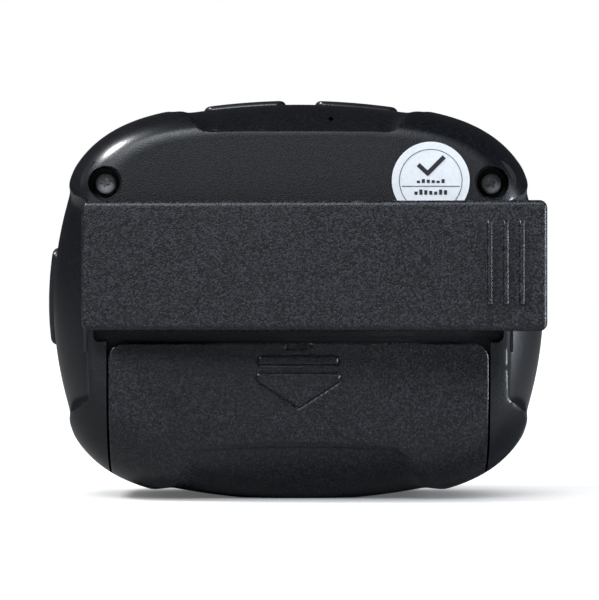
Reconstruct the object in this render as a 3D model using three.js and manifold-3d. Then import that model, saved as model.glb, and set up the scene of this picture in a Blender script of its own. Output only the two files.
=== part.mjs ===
// A pocket speed radar: a rounded black ABS case with a display and an antenna window on its
// front, and a sprung belt clip and a sliding battery door on its back.
// Millimetres, +Z up. The front faces -Y and the belt clip faces +Y. The origin is on the flat
// base, under the middle of the case.

import * as THREE from "three";
import { mergeVertices } from "three/addons/utils/BufferGeometryUtils.js";
import Module from "manifold-3d";

const wasm = await Module();
wasm.setup();

// ---------- Driving dimensions ----------

const gap = 0.3; // between neighbouring pieces
const wall = 2; // moulded wall

const halfWidth = 48.4; // of the case at its rim
const topZ = 77.6;
const bottomZ = -0.5; // before the base is cut flat at z = 0
const middleZ = (topZ + bottomZ) / 2;
const halfHeight = (topZ - bottomZ) / 2;

const backY = 18; // flat back face
const rimBackY = 6; // the rear shoulder starts here
const partingY = 2; // front case meets rear cover
const rimFrontY = -8; // the front shoulder starts here
const frontY = -18; // flat front face

const rearShoulder = { side: 9, top: 5.6, bottom: 11.4, power: 4.2, scallop: 0.4 };
const frontShoulder = { side: 7, top: 6.5, bottom: 7.5, power: 3.8, scallop: 0.2 };
const rimPower = 3.4; // squareness of the superellipse at the rim

// Shallow scallops, cut between the four corner pads, follow large radii.
const topScallop = { half: 24.5, radius: 138 };
const bottomScallop = { half: 27, radius: 125 };
const sideScallop = { half: 24.5, radius: 70 };
const scallopFade = 4; // length of a scallop's soft end

const roundSteps = 64;
const shoulderSteps = [0, 0.4, 0.68, 0.88, 1];

const trough = { halfWidth: 39.5, bottom: 31, top: 54.2, depth: 2.2 };
const troughFloorY = backY - trough.depth;
const beltPad = { xs: [-12, 30], zs: [34, 52], height: 0.4 }; // the belt bears on it

const door = { halfWidth: 36.75, top: 30.7, frontY: 7.2 };
const doorInnerY = backY - wall;

const clip = { left: 41.4, right: -46.8, bottom: 33.15, top: 57.8, thick: 2.4, leftY: 24, rightY: 31 };
const hinge = { x: -22, y: 22.8, pinRadius: 1.2, lugRadius: 2.6, lugWidth: 3 };
const foot = { clearance: 0.7 }; // between the clip's foot and the top of the trough
const thumbRibs = { first: -36, pitch: -3, count: 3, bottom: 38.4, top: 53.3, width: 0.9, height: 0.5 };

const upperScrew = { x: 37.6, z: 61.7, seatY: 11, boreRadius: 3.1 };
const lowerScrew = { x: 31.8, z: 13, seatY: 4.2 };
const screw = { headRadius: 2, headHeight: 1.5, shankRadius: 1, length: 13 };
const cross = { width: 0.55, half: 1.1 }; // of a screw head
const bossRadius = 4.6;
const frontBossRadius = 3;

const cell = { radius: 5.25, length: 43.3, nub: 1.2, y: 9.8, z: [13.6, 24.4] };
const bay = { halfWidth: 26, bottom: 8.5, floorY: 4.2, floorThick: 1.2, wall: 1.5 };

const topButtons = { left: [2.5, 19], right: [-20, -3.3], y: [-6.2, -0.4], proud: 1.1 };
const sideButton = { z: [30, 49.5], y: [-6.2, -0.4], proud: 1.6 };
const switchBody = { width: 6, height: 5, depth: 3.5, plunger: 1 };

const board = { frontY: -7, backY: -5.4, halfWidth: 38, bottom: 18, shoulder: 55, neck: 31, top: 68 };
const bezel = { halfWidth: 33, bottom: 11.5, top: 48.5, radius: 5 };
const panelSeatY = frontY + 1.4; // floor of the recesses in the front face
const lens = { halfWidth: 26.5, bottom: 18, top: 45, radius: 2 };
const display = { halfWidth: 27, bottom: 17.5, top: 45.5 };
const radome = { halfWidth: 24, halfHeight: 8.4, z: 60, proud: 1.8 };
const antenna = { halfWidth: 22, bottom: 52.5, top: 68 };
const sticker = { x: -25.5, z: 62, radius: 7.5, thick: 0.15 };

// ---------- Materials ----------

const finish = (color, roughness, metalness = 0) =>
  new THREE.MeshStandardMaterial({ color, roughness, metalness });
const blackCase = finish(0x1c1e22, 0.55);
const blackClip = finish(0x24262b, 0.5);
const blackRubber = finish(0x121316, 0.35);
const glossBezel = finish(0x0b0c0f, 0.12);
const zinc = finish(0xb9bcc0, 0.3, 1);
const springSteel = finish(0x8f9398, 0.35, 1);
const nickel = finish(0xc8c6bd, 0.3, 1);
const clearLens = finish(0xb8c4c8, 0.05);
const displayGlass = finish(0x9aa58c, 0.2);
const whitePlastic = finish(0xe6e6e0, 0.5);
const boardGreen = finish(0x1f5a37, 0.5);
const copperBoard = finish(0xb08a4a, 0.35, 1);
const cellJacket = finish(0x2f6f9c, 0.35);
const paper = finish(0xf2f2f0, 0.6);
const redJacket = finish(0xa82020, 0.45);
const blackJacket = finish(0x101010, 0.45);

// ---------- Solids ----------

const { lerp, smoothstep } = THREE.MathUtils;

function solid(geometry) {
  geometry.deleteAttribute("normal");
  geometry.deleteAttribute("uv");
  const merged = mergeVertices(geometry, 1e-4);
  const mesh = new wasm.Mesh({
    numProp: 3,
    vertProperties: new Float32Array(merged.attributes.position.array),
    triVerts: new Uint32Array(merged.index.array),
  });
  return new wasm.Manifold(mesh);
}

function geometryOf(body) {
  const mesh = body.getMesh();
  const geometry = new THREE.BufferGeometry();
  geometry.setAttribute("position", new THREE.BufferAttribute(mesh.vertProperties, 3));
  geometry.setIndex(new THREE.BufferAttribute(mesh.triVerts, 1));
  geometry.computeVertexNormals();
  return geometry;
}

const join = (...bodies) => bodies.reduce((whole, body) => whole.add(body));
const cut = (body, ...tools) => tools.reduce((rest, tool) => rest.subtract(tool), body);

function box([x0, x1], [y0, y1], [z0, z1]) {
  const geometry = new THREE.BoxGeometry(x1 - x0, y1 - y0, z1 - z0);
  return solid(geometry.translate((x0 + x1) / 2, (y0 + y1) / 2, (z0 + z1) / 2));
}

// A round bar along Y, and one along Z.
function barAlongY(x, z, radius, [y0, y1], sides = 20) {
  const geometry = new THREE.CylinderGeometry(radius, radius, y1 - y0, sides);
  return solid(geometry.translate(x, (y0 + y1) / 2, z));
}

function barAlongZ(x, y, radius, [z0, z1], sides = 20) {
  const geometry = new THREE.CylinderGeometry(radius, radius, z1 - z0, sides);
  return solid(geometry.rotateX(Math.PI / 2).translate(x, y, (z0 + z1) / 2));
}

// A shape drawn in X and Z, pushed along Y.
function slabAlongY(shape, [y0, y1], curveSegments = 6) {
  const geometry = new THREE.ExtrudeGeometry(shape, { depth: y1 - y0, bevelEnabled: false, curveSegments });
  return solid(geometry.rotateX(Math.PI / 2).translate(0, y1, 0));
}

function roundedRectangle([x0, x1], [z0, z1], radius) {
  const shape = new THREE.Shape();
  shape.moveTo(x0 + radius, z0);
  shape.absarc(x1 - radius, z0 + radius, radius, -Math.PI / 2, 0);
  shape.absarc(x1 - radius, z1 - radius, radius, 0, Math.PI / 2);
  shape.absarc(x0 + radius, z1 - radius, radius, Math.PI / 2, Math.PI);
  shape.absarc(x0 + radius, z0 + radius, radius, Math.PI, 1.5 * Math.PI);
  return shape;
}

function roundedPlate(xs, ys, zs, radius) {
  return slabAlongY(roundedRectangle(xs, zs, radius), ys);
}

// A solid through rings of points that run along Y, closed by a fan at each end.
function loft(rings) {
  const count = rings[0].length;
  const middleOf = (ring) => ring.reduce((sum, p) => sum.add(p), new THREE.Vector3()).divideScalar(count);
  const points = [...rings.flat(), middleOf(rings[0]), middleOf(rings.at(-1))];
  const firstMiddle = rings.length * count;
  const lastMiddle = firstMiddle + 1;
  const triangles = [];
  for (let step = 0; step < count; step++) {
    const next = (step + 1) % count;
    for (let ring = 0; ring < rings.length - 1; ring++) {
      const here = ring * count;
      const there = here + count;
      triangles.push(here + step, there + step, here + next);
      triangles.push(here + next, there + step, there + next);
    }
    triangles.push(firstMiddle, step, next);
    triangles.push(lastMiddle, (rings.length - 1) * count + next, (rings.length - 1) * count + step);
  }
  const geometry = new THREE.BufferGeometry().setFromPoints(points);
  geometry.setIndex(triangles);
  return solid(geometry);
}

// A helix or lead: a round wire of the given radius along a curve.
function wireAlong(curve, radius, steps, sides = 6) {
  const section = new THREE.Shape();
  section.absarc(0, 0, radius, 0, 2 * Math.PI);
  const options = { steps, curveSegments: sides, extrudePath: curve, bevelEnabled: false };
  return solid(new THREE.ExtrudeGeometry(section, options));
}

class Helix extends THREE.Curve {
  constructor(start, axis, across, startRadius, endRadius, turns, length) {
    super();
    Object.assign(this, { start, axis, across, startRadius, endRadius, turns, length });
    this.up = new THREE.Vector3().crossVectors(axis, across);
  }
  getPoint(t, target = new THREE.Vector3()) {
    const angle = 2 * Math.PI * this.turns * t;
    const radius = lerp(this.startRadius, this.endRadius, t);
    return target
      .copy(this.start)
      .addScaledVector(this.axis, this.length * t)
      .addScaledVector(this.across, radius * Math.cos(angle))
      .addScaledVector(this.up, radius * Math.sin(angle));
  }
}

// ---------- Case skin ----------

// How far a point of the skin has to move in to lie on a scallop, faded at the scallop's ends.
function scallopCut(along, height, limit, half) {
  const fade = smoothstep(half + scallopFade / 2 - Math.abs(along), 0, scallopFade);
  return fade * Math.max(0, height - limit);
}

// The skin at a direction round the case. Depth runs from 0 at the rim to 1 on the flat face,
// and inward moves the whole skin in by a wall.
function skinPoint(direction, depth, y, shoulder, inward) {
  const round = 1 - Math.sqrt(1 - depth * depth);
  const cutIn = lerp(round, depth, shoulder.scallop);
  const upper = Math.sin(direction) > 0;
  const inset = upper ? shoulder.top : shoulder.bottom;
  const across = halfWidth - shoulder.side * round - inward;
  const along = halfHeight - inset * round - inward;
  const power = lerp(rimPower, shoulder.power, round);
  const cosine = Math.abs(Math.cos(direction)) / across;
  const sine = Math.abs(Math.sin(direction)) / along;
  const reach = (cosine ** power + sine ** power) ** (-1 / power);
  let x = reach * Math.cos(direction);
  let rise = reach * Math.sin(direction);

  const scallop = upper ? topScallop : bottomScallop;
  const endLimit = halfHeight - x ** 2 / (2 * scallop.radius) - inset * cutIn - inward;
  const sideLimit = halfWidth - rise ** 2 / (2 * sideScallop.radius) - shoulder.side * cutIn - inward;
  const endCut = scallopCut(x, Math.abs(rise), endLimit, scallop.half);
  const sideCut = scallopCut(rise, Math.abs(x), sideLimit, sideScallop.half);
  rise -= Math.sign(rise) * endCut;
  x -= Math.sign(x) * sideCut;
  return new THREE.Vector3(x, y, middleZ + rise);
}

function skinRing(depth, y, shoulder, inward) {
  return Array.from({ length: roundSteps }, (_, step) =>
    skinPoint((2 * Math.PI * (step + 0.5)) / roundSteps, depth, y, shoulder, inward),
  );
}

// The rear or front half of the case as a full block, from the parting plane to its flat face.
function halfBlock(startY, rimY, faceY, shoulder, inward) {
  const shoulderRings = shoulderSteps.map((depth) =>
    skinRing(depth, lerp(rimY, faceY, depth), shoulder, inward),
  );
  const rings = [skinRing(0, startY, shoulder, inward), ...shoulderRings];
  return loft(faceY > startY ? rings : rings.reverse());
}

const aboveBase = box([-60, 60], [-40, 40], [0, 90]);
const insideBase = box([-60, 60], [-40, 40], [wall, 90]);
const rearBlock = halfBlock(partingY + gap, rimBackY, backY, rearShoulder, 0).intersect(aboveBase);
const rearHollow = halfBlock(partingY - 1, rimBackY, doorInnerY, rearShoulder, wall).intersect(insideBase);
const insideDoor = halfBlock(partingY, rimBackY, doorInnerY - 1, rearShoulder, wall + 1);
const frontBlock = halfBlock(partingY, rimFrontY, frontY, frontShoulder, 0).intersect(aboveBase);
const frontInside = halfBlock(partingY + 1, rimFrontY, frontY + wall, frontShoulder, wall);
const frontHollow = frontInside.intersect(insideBase);

// ---------- Rear cover ----------

const clipFaceY = (x) => lerp(clip.leftY, clip.rightY, (clip.left - x) / (clip.left - clip.right));
const lugBase = troughFloorY - wall / 2;

// A hinge ear: a round eye on a straight root, its thickness along Z.
function hingeEar(rootY, [z0, z1]) {
  const root = box([hinge.x - hinge.lugRadius, hinge.x + hinge.lugRadius], [
    Math.min(rootY, hinge.y),
    Math.max(rootY, hinge.y),
  ], [z0, z1]);
  const eye = barAlongZ(hinge.x, hinge.y, hinge.lugRadius, [z0, z1]);
  const hole = barAlongZ(hinge.x, hinge.y, hinge.pinRadius + gap, [z0 - 1, z1 + 1]);
  return join(root, eye).subtract(hole);
}

const clipMiddleZ = (clip.bottom + clip.top) / 2;
const coverEars = [-7.45, 7.45].map((offset) => clipMiddleZ + offset);
const clipEars = [-4.15, 4.15].map((offset) => clipMiddleZ + offset);
const earSpan = (middle) => [middle - hinge.lugWidth / 2, middle + hinge.lugWidth / 2];

function screwBoss({ x, z, seatY, boreRadius }, radius, side) {
  const column = barAlongY(side * x, z, radius, [partingY + gap, backY]).intersect(rearBlock);
  const bore = barAlongY(side * x, z, boreRadius, [seatY, backY + 5]);
  const shankHole = barAlongY(side * x, z, screw.shankRadius + gap, [partingY - 1, seatY + 1], 12);
  return { column, bore, shankHole };
}

function batteryBay() {
  const floor = box([-45, 45], [bay.floorY - bay.floorThick, bay.floorY], [bay.bottom, trough.bottom]);
  const shelf = box([-45, 45], [bay.floorY - bay.floorThick, doorInnerY - gap], [29.95, trough.bottom]);
  const sides = [-1, 1].map((side) => {
    const inner = side * bay.halfWidth;
    const outer = side * (bay.halfWidth + bay.wall);
    const span = [Math.min(inner, outer), Math.max(inner, outer)];
    return box(span, [bay.floorY - bay.floorThick, 14.5], [bay.bottom, trough.bottom]).intersect(insideDoor);
  });
  const tabSlot = box([-30, -bay.halfWidth + 1], [7.5, 10.5], [11, 27]);
  const leadHole = box([-33, -28], [0, 6], [19.5, 26]);
  return cut(join(floor, shelf, ...sides), tabSlot, leadHole);
}

function rearCover() {
  const troughBlock = box([-trough.halfWidth - wall, trough.halfWidth + wall], [troughFloorY - wall, backY], [
    trough.bottom - wall,
    trough.top + wall,
  ]);
  const troughSpace = box([-trough.halfWidth, trough.halfWidth], [troughFloorY, backY + 1], [
    trough.bottom,
    trough.top,
  ]);
  const doorOpening = box([-door.halfWidth - gap, door.halfWidth + gap], [door.frontY - gap, backY + 1], [
    -1,
    trough.bottom - wall,
  ]);
  const doorRebate = box([-door.halfWidth - gap, door.halfWidth + gap], [doorInnerY - gap, backY + 1], [
    -1,
    trough.bottom,
  ]);
  const bosses = [-1, 1].map((side) => screwBoss(upperScrew, bossRadius, side));
  const shell = cut(rearBlock, rearHollow.subtract(troughBlock));
  const withBosses = cut(
    join(shell, ...bosses.map((boss) => boss.column)),
    ...bosses.flatMap((boss) => [boss.bore, boss.shankHole]),
  );
  const lowerHoles = [-1, 1].map((side) =>
    barAlongY(side * lowerScrew.x, lowerScrew.z, screw.shankRadius + gap, [0, 8], 12),
  );
  const opened = cut(withBosses, troughSpace, doorOpening, doorRebate);
  const bayBlock = cut(batteryBay().intersect(rearBlock), ...lowerHoles);
  const ears = coverEars.map((middle) => hingeEar(lugBase, earSpan(middle)));
  const pinhole = barAlongY(-6.3, 74.2, 0.5, [8, 20], 8);
  const pad = box(beltPad.xs, [lugBase, troughFloorY + beltPad.height], beltPad.zs);
  return cut(join(opened, bayBlock, pad, ...ears), pinhole);
}

// ---------- Battery door ----------

function arrowMark() {
  const bar = roundedPlate([-7.5, 7.5], [backY - 0.35, backY + 1], [26.7, 28.1], 0.5);
  const head = new THREE.Shape();
  head.moveTo(-7.6, 24.8);
  head.lineTo(7.6, 24.8);
  head.lineTo(7.6, 23.9);
  head.lineTo(0, 18.9);
  head.lineTo(-7.6, 23.9);
  return join(bar, slabAlongY(head, [backY - 0.35, backY + 1]));
}

function batteryDoor() {
  const outline = box([-door.halfWidth, door.halfWidth], [door.frontY, backY + 1], [-1, door.top]);
  const skin = rearBlock.intersect(outline).subtract(rearHollow);
  const guides = [-1, 1].map((side) => {
    const span = [side * 34.2, side * 35.4].sort((a, b) => a - b);
    return box(span, [9, doorInnerY + 0.5], [10, 26]);
  });
  const latchNotch = box([-2.5, 2.5], [backY - 0.8, backY + 1], [door.top - 1, door.top + 1]);
  return cut(join(skin, ...guides), arrowMark(), latchNotch);
}

// ---------- Belt clip ----------

// The plate, with a foot at its left end that closes on the back of the case.
function beltClip() {
  const innerY = (x) => clipFaceY(x) - clip.thick;
  const footY = troughFloorY + gap;
  const profile = new THREE.Shape();
  profile.moveTo(clip.left, clipFaceY(clip.left) - 0.6);
  profile.lineTo(clip.left - 0.6, clipFaceY(clip.left));
  profile.lineTo(clip.right + 0.6, clipFaceY(clip.right));
  profile.lineTo(clip.right, clipFaceY(clip.right) - 0.6);
  profile.lineTo(clip.right, innerY(clip.right));
  profile.lineTo(clip.left, innerY(clip.left));
  const depth = clip.top - clip.bottom;
  const extruded = new THREE.ExtrudeGeometry(profile, { depth, bevelEnabled: false });
  const plate = solid(extruded.translate(0, 0, clip.bottom));
  const toe = new THREE.Shape();
  toe.moveTo(33.6, innerY(33.6) + 0.5);
  toe.lineTo(35.4, footY);
  toe.lineTo(38.6, footY);
  toe.lineTo(39.2, innerY(39.2) + 0.5);
  const toeDepth = trough.top - foot.clearance - clip.bottom;
  const toeSolid = new THREE.ExtrudeGeometry(toe, { depth: toeDepth, bevelEnabled: false });
  const clipFoot = solid(toeSolid.translate(0, 0, clip.bottom));
  const ribs = Array.from({ length: thumbRibs.count }, (_, index) => {
    const x = thumbRibs.first + index * thumbRibs.pitch;
    const half = thumbRibs.width / 2;
    const face = clipFaceY(x + half);
    return box([x - half, x + half], [face - 1, face + thumbRibs.height], [thumbRibs.bottom, thumbRibs.top]);
  });
  const ears = clipEars.map((middle) => hingeEar(innerY(hinge.x) + 0.5, earSpan(middle)));
  return join(plate, clipFoot, ...ribs, ...ears);
}

function hingePin() {
  return barAlongZ(hinge.x, hinge.y, hinge.pinRadius, [coverEars[0] - 2.2, coverEars[1] + 2.2], 16);
}

// A torsion spring on the pin, between the clip's ears. Its coil bears on the trough.
function clipSpring() {
  const half = (clipEars[1] - clipEars[0] - hinge.lugWidth) / 2 - gap - 0.4;
  const start = new THREE.Vector3(hinge.x, hinge.y, clipMiddleZ - half);
  const up = new THREE.Vector3(0, 0, 1);
  return wireAlong(new Helix(start, up, new THREE.Vector3(-1, 0, 0), 2.1, 2.1, 3.5, 2 * half), 0.4, 36, 5);
}

// ---------- Fasteners ----------

function caseScrew({ x, z, seatY }, side) {
  const underHead = seatY + gap;
  const profile = [
    [0, 0],
    [screw.shankRadius, 0],
    [screw.shankRadius, screw.length],
    [screw.headRadius, screw.length],
    [screw.headRadius, screw.length + 0.9],
    [screw.headRadius * 0.75, screw.length + 1.35],
    [0, screw.length + screw.headHeight],
  ].map(([radius, height]) => new THREE.Vector2(radius, height));
  const blank = solid(new THREE.LatheGeometry(profile, 14).translate(0, -screw.length, 0));
  const half = cross.width / 2;
  const crossDepth = [0.6, screw.headHeight + 1];
  const crossReach = [-cross.half, cross.half];
  const recess = join(box(crossReach, crossDepth, [-half, half]), box([-half, half], crossDepth, crossReach));
  return blank.subtract(recess).translate(side * x, underHead, z);
}

// ---------- Front case ----------

function radomeOutline(inward) {
  const shape = new THREE.Shape();
  shape.absellipse(0, radome.z, radome.halfWidth - inward, radome.halfHeight - inward, 0, 2 * Math.PI);
  return shape;
}

function buttonSlot([x0, x1]) {
  return box([x0 - gap, x1 + gap], [topButtons.y[0] - gap, topButtons.y[1] + gap], [70, 85]);
}

function frontBoss({ x, z }, side) {
  const column = barAlongY(side * x, z, frontBossRadius, [frontY + 1, partingY]).intersect(frontBlock);
  const pilot = barAlongY(side * x, z, screw.shankRadius + gap, [-9, partingY + 1], 12);
  return { column, pilot };
}

function frontCase() {
  const shell = cut(frontBlock, frontHollow);
  const bosses = [upperScrew, lowerScrew].flatMap((place) => [-1, 1].map((side) => frontBoss(place, side)));
  const seats = [frontY - 1, panelSeatY];
  const bezelSeat = roundedPlate(
    [-bezel.halfWidth - gap, bezel.halfWidth + gap],
    seats,
    [bezel.bottom - gap, bezel.top + gap],
    bezel.radius + gap,
  );
  const window = box([-lens.halfWidth + 1.5, lens.halfWidth - 1.5], [frontY - 1, frontY + 4], [
    lens.bottom + 1.5,
    lens.top - 1.5,
  ]);
  const radomeSeat = slabAlongY(radomeOutline(-gap), seats, 16);
  const beamWindow = slabAlongY(radomeOutline(2.5), [frontY - 1, frontY + 4], 16);
  const sideSlot = box([40, 60], [sideButton.y[0] - gap, sideButton.y[1] + gap], [
    sideButton.z[0] - gap,
    sideButton.z[1] + gap,
  ]);
  return cut(
    join(shell, ...bosses.map((boss) => boss.column)),
    ...bosses.map((boss) => boss.pilot),
    bezelSeat,
    window,
    radomeSeat,
    beamWindow,
    buttonSlot(topButtons.left),
    buttonSlot(topButtons.right),
    sideSlot,
  );
}

function displayBezel() {
  const plate = roundedPlate(
    [-bezel.halfWidth, bezel.halfWidth],
    [frontY - 0.3, panelSeatY - gap],
    [bezel.bottom, bezel.top],
    bezel.radius,
  );
  const opening = roundedPlate(
    [-lens.halfWidth - gap, lens.halfWidth + gap],
    [frontY - 2, frontY + 2],
    [lens.bottom - gap, lens.top + gap],
    lens.radius + gap,
  );
  return plate.subtract(opening);
}

function displayLens() {
  const thickness = [frontY - 0.1, panelSeatY - gap];
  return roundedPlate([-lens.halfWidth, lens.halfWidth], thickness, [lens.bottom, lens.top], lens.radius);
}

// The antenna window: a low elliptical dome.
function radomeWindow() {
  const baseY = panelSeatY - gap;
  const rings = [0, 0.5, 0.8, 0.95].map((rise) => {
    const scale = Math.sqrt(1 - rise * rise);
    const y = lerp(frontY, frontY - radome.proud, rise);
    return { scale: lerp(0.55, 1, scale), y };
  });
  const ringAt = ({ scale, y }) =>
    Array.from({ length: 40 }, (_, step) => {
      const angle = (2 * Math.PI * step) / 40;
      const x = radome.halfWidth * scale * Math.cos(angle);
      return new THREE.Vector3(x, y, radome.z + radome.halfHeight * scale * Math.sin(angle));
    });
  return loft([...rings.reverse().map(ringAt), ringAt({ scale: 1, y: baseY })]);
}

// ---------- Buttons and switches ----------

// A rubber cap on the top edge, its crown parallel to the case, with a flange inside the wall.
function topButton([x0, x1]) {
  const crown = (x) => topZ - x ** 2 / (2 * topScallop.radius) + topButtons.proud;
  const corner = 2;
  const middle = (x0 + x1) / 2;
  const shape = new THREE.Shape();
  shape.moveTo(x0, 72.6);
  shape.lineTo(x1, 72.6);
  shape.lineTo(x1, crown(x1) - corner);
  shape.quadraticCurveTo(x1, crown(x1), x1 - corner, crown(x1 - corner));
  const bulge = 2 * crown(middle) - (crown(x0) + crown(x1)) / 2;
  shape.quadraticCurveTo(middle, bulge, x0 + corner, crown(x0 + corner));
  shape.quadraticCurveTo(x0, crown(x0), x0, crown(x0) - corner);
  const cap = slabAlongY(shape, topButtons.y);
  const flange = box([x0 - 1, x1 + 1], [topButtons.y[0] - 1, topButtons.y[1] + 1], [72.2, 73.2]);
  const stem = box([middle - 1.5, middle + 1.5], [-5, -1.7], [71.6, 73]);
  return join(cap, flange, stem);
}

function sideButtonCap() {
  const [z0, z1] = sideButton.z;
  const face = (z) => halfWidth - (z - middleZ) ** 2 / (2 * sideScallop.radius) + sideButton.proud;
  const corner = 2;
  const middle = (z0 + z1) / 2;
  const shape = new THREE.Shape();
  shape.moveTo(44, z0);
  shape.lineTo(face(z0) - corner, z0);
  shape.quadraticCurveTo(face(z0), z0, face(z0 + corner), z0 + corner);
  const bulge = 2 * face(middle) - (face(z0) + face(z1)) / 2;
  shape.quadraticCurveTo(bulge, middle, face(z1 - corner), z1 - corner);
  shape.quadraticCurveTo(face(z1), z1, face(z1) - corner, z1);
  shape.lineTo(44, z1);
  const cap = slabAlongY(shape, sideButton.y);
  const flange = box([43.4, 44.6], [sideButton.y[0] - 1, sideButton.y[1] + 1], [z0 - 1, z1 + 1]);
  const stem = box([42.9, 44], [-5, -1.7], [middle - 1.5, middle + 1.5]);
  return join(cap, flange, stem);
}

// A tact switch on the back of the board, its plunger pointing out to its button.
function tactSwitch(place, outward) {
  const { width, height, depth, plunger } = switchBody;
  const body = new THREE.BoxGeometry(width, depth, height).translate(0, 0, -height / 2);
  const stud = new THREE.CylinderGeometry(1.2, 1.2, plunger + 0.5, 12).rotateX(Math.PI / 2);
  const upright = join(solid(body), solid(stud.translate(0, 0, plunger / 2 - 0.25)));
  const turn = outward === "side" ? 90 : 0;
  return upright.rotate([0, turn, 0]).translate(place);
}

// ---------- Inside ----------

const behindBoardY = board.backY + gap;
const switchY = behindBoardY + switchBody.depth / 2;

function mainBoard() {
  const ys = [board.frontY, board.backY];
  const wide = box([-board.halfWidth, board.halfWidth], ys, [board.bottom, board.shoulder]);
  const neck = box([-board.neck, board.neck], ys, [board.shoulder - 1, board.top]);
  return join(wide, neck);
}

function shieldCan() {
  const outer = box([-15, 15], [-12.4, board.frontY - gap], [54.5, 66.5]);
  const hollow = box([-14.4, 14.4], [-11.8, board.frontY], [55.1, 65.9]);
  return outer.subtract(hollow);
}

function displayFrame() {
  const outer = box([-29.5, 29.5], [-15.1, board.frontY - gap], [15, 48]);
  const panelPocket = box([-display.halfWidth - gap, display.halfWidth + gap], [-16, -12.2], [
    display.bottom - gap,
    display.top + gap,
  ]);
  const lightPocket = box([-26, 26], [-13, -6], [16.5, 46.5]);
  return cut(outer, panelPocket, lightPocket);
}

function batteryCell(z, sign) {
  const { radius, length, nub } = cell;
  const profile = [
    [0, 0],
    [radius, 0],
    [radius, length],
    [1.9, length],
    [1.9, length + nub],
    [0, length + nub],
  ].map(([r, h]) => new THREE.Vector2(r, h));
  const upright = new THREE.LatheGeometry(profile, 24).translate(0, -(length + nub) / 2, 0);
  return solid(upright.rotateZ((-sign * Math.PI) / 2).translate(0, cell.y, z));
}

const cellEnd = (cell.length + cell.nub) / 2;
const plateX = [bay.halfWidth - gap - 0.6, bay.halfWidth - gap];

// A conical contact spring that reaches from its plate to the flat end of a cell.
function contactSpring(z, side) {
  const start = new THREE.Vector3(side * (plateX[0] + 0.2), cell.y, z);
  const inward = new THREE.Vector3(-side, 0, 0);
  const reach = plateX[0] + 0.2 - cellEnd - gap - 0.35;
  return wireAlong(new Helix(start, inward, new THREE.Vector3(0, 1, 0), 3.4, 1.8, 2.25, reach), 0.35, 22, 5);
}

function contactPlate(side, zs) {
  const span = side > 0 ? plateX : plateX.map((x) => -x).reverse();
  return box(span, [5.6, 13], zs);
}

function contactTab(z) {
  return box([-32, -plateX[0]], [8.2, 9.8], [z - 0.6, z + 0.6]);
}

// A lead from a contact tab, through the hole in the bay floor, to the back of the board.
function batteryLead(x, startZ, endZ) {
  const route = new THREE.CatmullRomCurve3([
    new THREE.Vector3(x, 7.5, startZ),
    new THREE.Vector3(x, 3, lerp(startZ, 23, 0.9)),
    new THREE.Vector3(x, -1, lerp(endZ, 23, 0.5)),
    new THREE.Vector3(x, behindBoardY + 0.1, endZ),
  ]);
  return wireAlong(route, 0.6, 8, 6);
}

// ---------- Assembly ----------

const radar = new THREE.Group();

function place(name, body, material) {
  const mesh = new THREE.Mesh(geometryOf(body), material);
  mesh.name = name;
  radar.add(mesh);
}

place("front_case", frontCase(), blackCase);
place("rear_cover", rearCover(), blackCase);
place("battery_door", batteryDoor(), blackCase);
place("belt_clip", beltClip(), blackClip);
place("clip_hinge_pin", hingePin(), zinc);
place("clip_torsion_spring", clipSpring(), springSteel);

place("upper_left_screw", caseScrew(upperScrew, 1), zinc);
place("upper_right_screw", caseScrew(upperScrew, -1), zinc);
place("lower_left_screw", caseScrew(lowerScrew, 1), zinc);
place("lower_right_screw", caseScrew(lowerScrew, -1), zinc);

place("display_bezel", displayBezel(), glossBezel);
place("display_lens", displayLens(), clearLens);
place("radome_window", radomeWindow(), blackCase);
place("left_top_button", topButton(topButtons.left), blackRubber);
place("right_top_button", topButton(topButtons.right), blackRubber);
place("side_button", sideButtonCap(), blackRubber);

const middleOf = ([low, high]) => (low + high) / 2;
place("left_top_switch", tactSwitch([middleOf(topButtons.left), switchY, 69.5], "top"), whitePlastic);
place("right_top_switch", tactSwitch([middleOf(topButtons.right), switchY, 69.5], "top"), whitePlastic);
place("side_switch", tactSwitch([40.9, switchY, middleOf(sideButton.z)], "side"), whitePlastic);

place("main_board", mainBoard(), boardGreen);
const antennaWidth = [-antenna.halfWidth, antenna.halfWidth];
place("antenna_board", box(antennaWidth, [-14.6, -13.2], [antenna.bottom, antenna.top]), copperBoard);
place("rf_shield", shieldCan(), nickel);
place("display_frame", displayFrame(), whitePlastic);
const glassWidth = [-display.halfWidth, display.halfWidth];
place("display_glass", box(glassWidth, [-14.8, -12.6], [display.bottom, display.top]), displayGlass);
place("display_backlight", box([-25.7, 25.7], [-11.9, -9.9], [20.5, 46.2]), whitePlastic);
place("display_connector", box([-24, 24], [-12.2, board.frontY - gap], [17.6, 20]), blackRubber);
place("buzzer", barAlongY(22, 50, 6, [behindBoardY, behindBoardY + 3.4], 24), blackRubber);

place("lower_cell", batteryCell(cell.z[0], -1), cellJacket);
place("upper_cell", batteryCell(cell.z[1], 1), cellJacket);
const linkPlate = contactPlate(1, [cell.z[0] - 4, cell.z[1] + 4]);
place("cell_link_contact", join(linkPlate, contactSpring(cell.z[0], 1)), nickel);
const negativePlate = contactPlate(-1, [cell.z[1] - 4, cell.z[1] + 4]);
place("negative_contact", join(negativePlate, contactSpring(cell.z[1], -1), contactTab(cell.z[1])), nickel);
const positivePlate = contactPlate(-1, [cell.z[0] - 4, cell.z[0] + 4]);
place("positive_contact", join(positivePlate, contactTab(cell.z[0] + 3)), nickel);
place("negative_lead", batteryLead(-31.4, cell.z[1], 27), blackJacket);
place("positive_lead", batteryLead(-29.4, cell.z[0] + 3, 20), redJacket);

const stickerSpan = [backY + 0.02, backY + 0.02 + sticker.thick];
place("inspection_sticker", barAlongY(sticker.x, sticker.z, sticker.radius, stickerSpan, 32), paper);

export default radar;
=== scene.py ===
import math

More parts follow.
